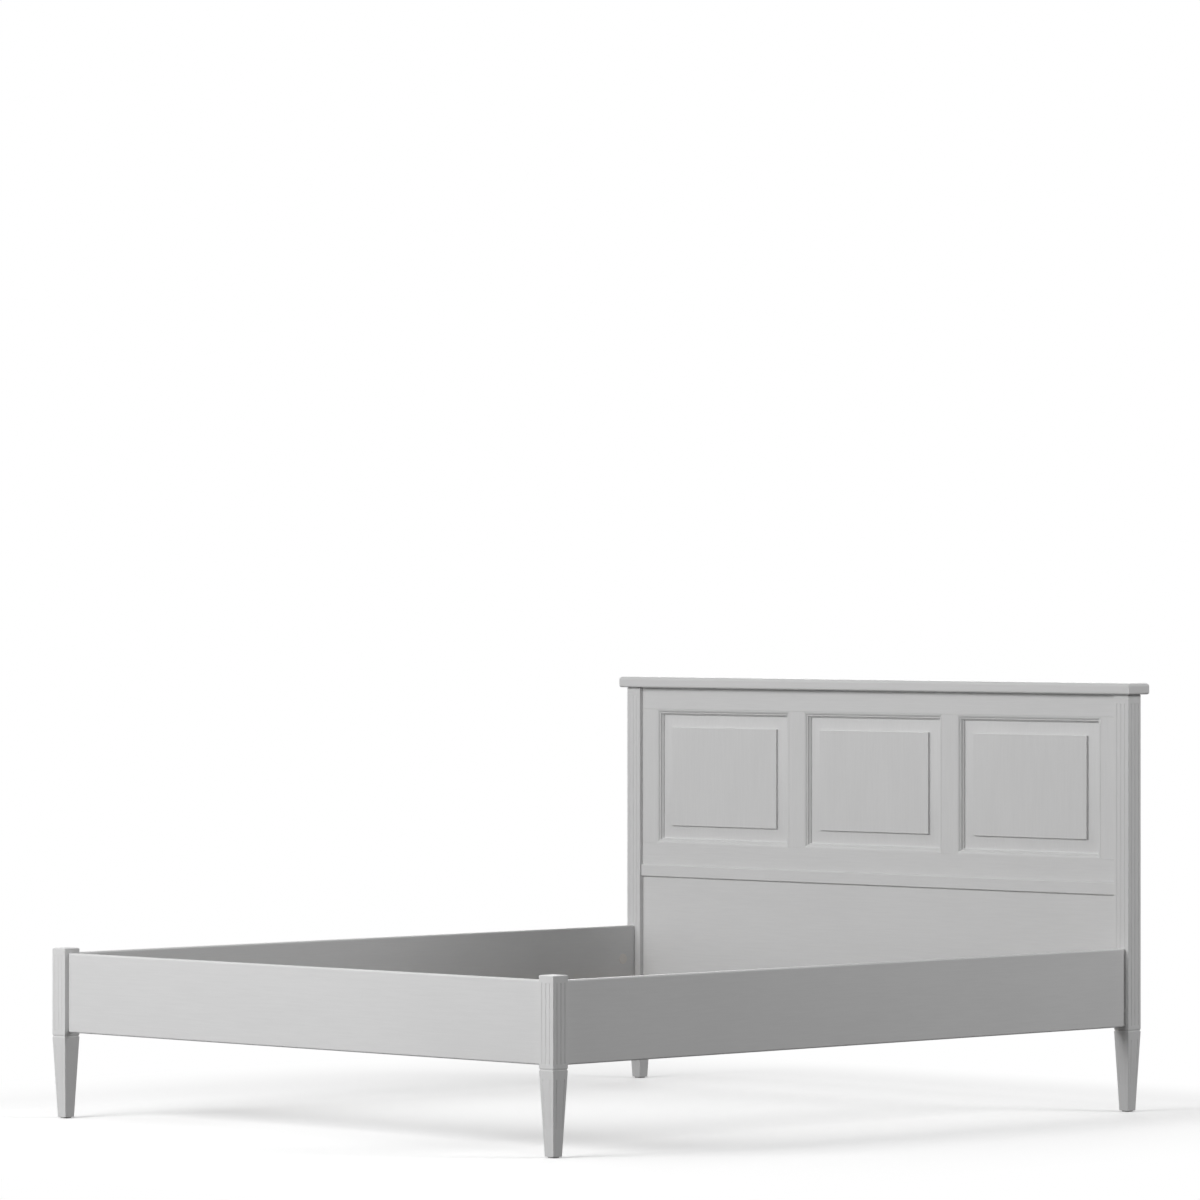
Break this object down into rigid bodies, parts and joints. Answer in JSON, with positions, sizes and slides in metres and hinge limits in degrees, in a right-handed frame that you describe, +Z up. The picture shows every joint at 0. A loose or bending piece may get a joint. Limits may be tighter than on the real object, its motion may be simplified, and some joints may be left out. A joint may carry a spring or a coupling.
{
  "type": "panel bed",
  "caption": "Double bed frame with a framed and panelled headboard under an overhanging cap, plain side rails and footboard, and fluted posts on tapered legs.",
  "frame": {"origin": "on the floor, below the middle of the bed's outline with its cap", "axes": "+X to the right seen from the foot, +Y from the foot to the head, +Z up"},
  "size_m": [1.803, 2.0916, 1.078],
  "materials": {
    "white_paint": "satin white paint over wood, faint brush grain",
    "beech": "bare planed beech",
    "zinc_plated_steel": "bright zinc plating",
    "cast_zinc": "dull zinc casting",
    "cover_plastic": "white moulded plastic",
    "glide_plastic": "pale grey moulded nylon"
  },
  "bodies": {
    "root": {"cam_covers": "cover_plastic", "cam_housings": "cast_zinc", "cap_dowels": "beech", "cap_rail": "white_paint", "connecting_bolts": "zinc_plated_steel", "foot_post_left": "white_paint", "foot_post_right": "white_paint", "footboard": "white_paint", "glide_foot_left": "glide_plastic", "glide_foot_right": "glide_plastic", "glide_head_left": "glide_plastic", "glide_head_right": "glide_plastic", "head_post_left": "white_paint", "head_post_right": "white_paint", "headboard_bottom_rail": "white_paint", "headboard_dowels": "beech", "headboard_top_rail": "white_paint", "ledge_strip": "white_paint", "ledger_left": "white_paint", "ledger_right": "white_paint", "ledger_screws_left": "zinc_plated_steel", "ledger_screws_right": "zinc_plated_steel", "lower_panel": "white_paint", "moulding_centre_bottom": "white_paint", "moulding_centre_left": "white_paint", "moulding_centre_right": "white_paint", "moulding_centre_top": "white_paint", "moulding_left_bottom": "white_paint", "moulding_left_left": "white_paint", "moulding_left_right": "white_paint", "moulding_left_top": "white_paint", "moulding_right_bottom": "white_paint", "moulding_right_left": "white_paint", "moulding_right_right": "white_paint", "moulding_right_top": "white_paint", "muntin_left": "white_paint", "muntin_right": "white_paint", "panel_centre": "white_paint", "panel_left": "white_paint", "panel_right": "white_paint", "rail_dowels": "beech", "side_rail_left": "white_paint", "side_rail_right": "white_paint", "stile_left": "white_paint", "stile_right": "white_paint", "threaded_sleeves": "zinc_plated_steel"}
  },
  "joints": []
}
